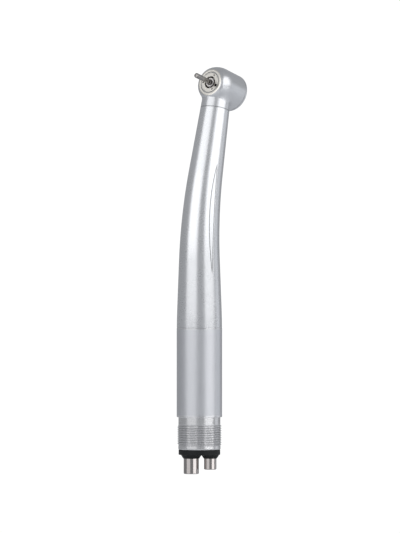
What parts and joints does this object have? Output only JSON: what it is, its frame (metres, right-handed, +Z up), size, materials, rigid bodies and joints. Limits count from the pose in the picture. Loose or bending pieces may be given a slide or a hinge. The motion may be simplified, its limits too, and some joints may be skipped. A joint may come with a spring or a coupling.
{
  "type": "high speed dental handpiece",
  "caption": "High speed dental handpiece: curved tapered metal handle, angled turbine head with bur shank and push button, threaded hose coupling with tubes.",
  "frame": {"origin": "on the handle's axis, in the plane of the rear sleeve's end face, where the hose coupling starts", "axes": "+Z up the handle towards the head, -X the side the bur leaves the head, +X the side the neck leans to"},
  "size_m": [0.0266, 0.0146, 0.1313],
  "materials": {
    "polished_nickel": "satin chrome plated brass, fine blasted",
    "face_nickel": "turned, warm nickel",
    "satin_chrome": "satin plated",
    "matt_chrome": "matt blasted plating",
    "polished_steel": "polished",
    "bearing_steel": "ground",
    "ceramic_ball": "lapped",
    "cage_resin": "machined",
    "spring_steel": "drawn wire",
    "seal_rubber": "moulded",
    "impeller_aluminium": "milled",
    "brass": "turned"
  },
  "bodies": {
    "handpiece": {"head_housing": "satin_chrome", "face_plate": "face_nickel", "back_cap": "satin_chrome", "front_outer_race": "bearing_steel", "rear_outer_race": "bearing_steel", "front_o_ring": "seal_rubber", "rear_o_ring": "seal_rubber", "preload_washer": "spring_steel", "neck_block": "brass", "neck_seal": "seal_rubber", "front_sleeve": "satin_chrome", "rear_sleeve": "matt_chrome", "joint_ring": "brass", "joint_seal": "seal_rubber", "connector_body": "polished_nickel", "connector_seal": "seal_rubber", "connector_gasket": "seal_rubber", "exhaust_tube": "polished_steel", "drive_air_tube": "polished_steel", "water_tube": "polished_steel", "chip_air_tube": "polished_steel", "button_spring": "spring_steel"},
    "rotor": {"spindle": "polished_steel", "impeller": "impeller_aluminium", "front_inner_race": "bearing_steel", "rear_inner_race": "bearing_steel", "chuck_spring": "spring_steel"},
    "front_ball_set": {"front_balls": "ceramic_ball", "front_cage": "cage_resin"},
    "rear_ball_set": {"rear_balls": "ceramic_ball", "rear_cage": "cage_resin"},
    "button": {"push_button": "satin_chrome"},
    "chuck": {"collet_chuck": "polished_steel", "chuck_plunger": "polished_steel"},
    "bur": {"bur_blank": "polished_steel"}
  },
  "joints": [
    {"name": "rotor_spin", "type": "hinge", "parent": "handpiece", "child": "rotor", "pos_m": [0.01016, 0, 0.10678], "axis": [-0.9659, 0, 0.2588], "continuous": true},
    {"name": "front_cage_spin", "type": "hinge", "parent": "handpiece", "child": "front_ball_set", "pos_m": [0.01016, 0, 0.10678], "axis": [-0.9659, 0, 0.2588], "continuous": true},
    {"name": "rear_cage_spin", "type": "hinge", "parent": "handpiece", "child": "rear_ball_set", "pos_m": [0.01016, 0, 0.10678], "axis": [-0.9659, 0, 0.2588], "continuous": true},
    {"name": "button_press", "type": "slide", "parent": "handpiece", "child": "button", "axis": [-0.9659, 0, 0.2588], "range_m": [0, 0.0004], "stiffness_N_per_m": 8000, "deforming": ["button_spring"]},
    {"name": "chuck_release", "type": "slide", "parent": "rotor", "child": "chuck", "axis": [-0.9659, 0, 0.2588], "range_m": [0, 0.0003], "deforming": ["chuck_spring"]},
    {"name": "bur_slide", "type": "slide", "parent": "chuck", "child": "bur", "axis": [-0.9659, 0, 0.2588], "range_m": [0, 0.012]}
  ],
  "couplings": [
    {"joint": "front_cage_spin", "follows": "rotor_spin", "ratio": 0.395},
    {"joint": "rear_cage_spin", "follows": "rotor_spin", "ratio": 0.395},
    {"joint": "chuck_release", "follows": "button_press", "ratio": 0.7}
  ]
}
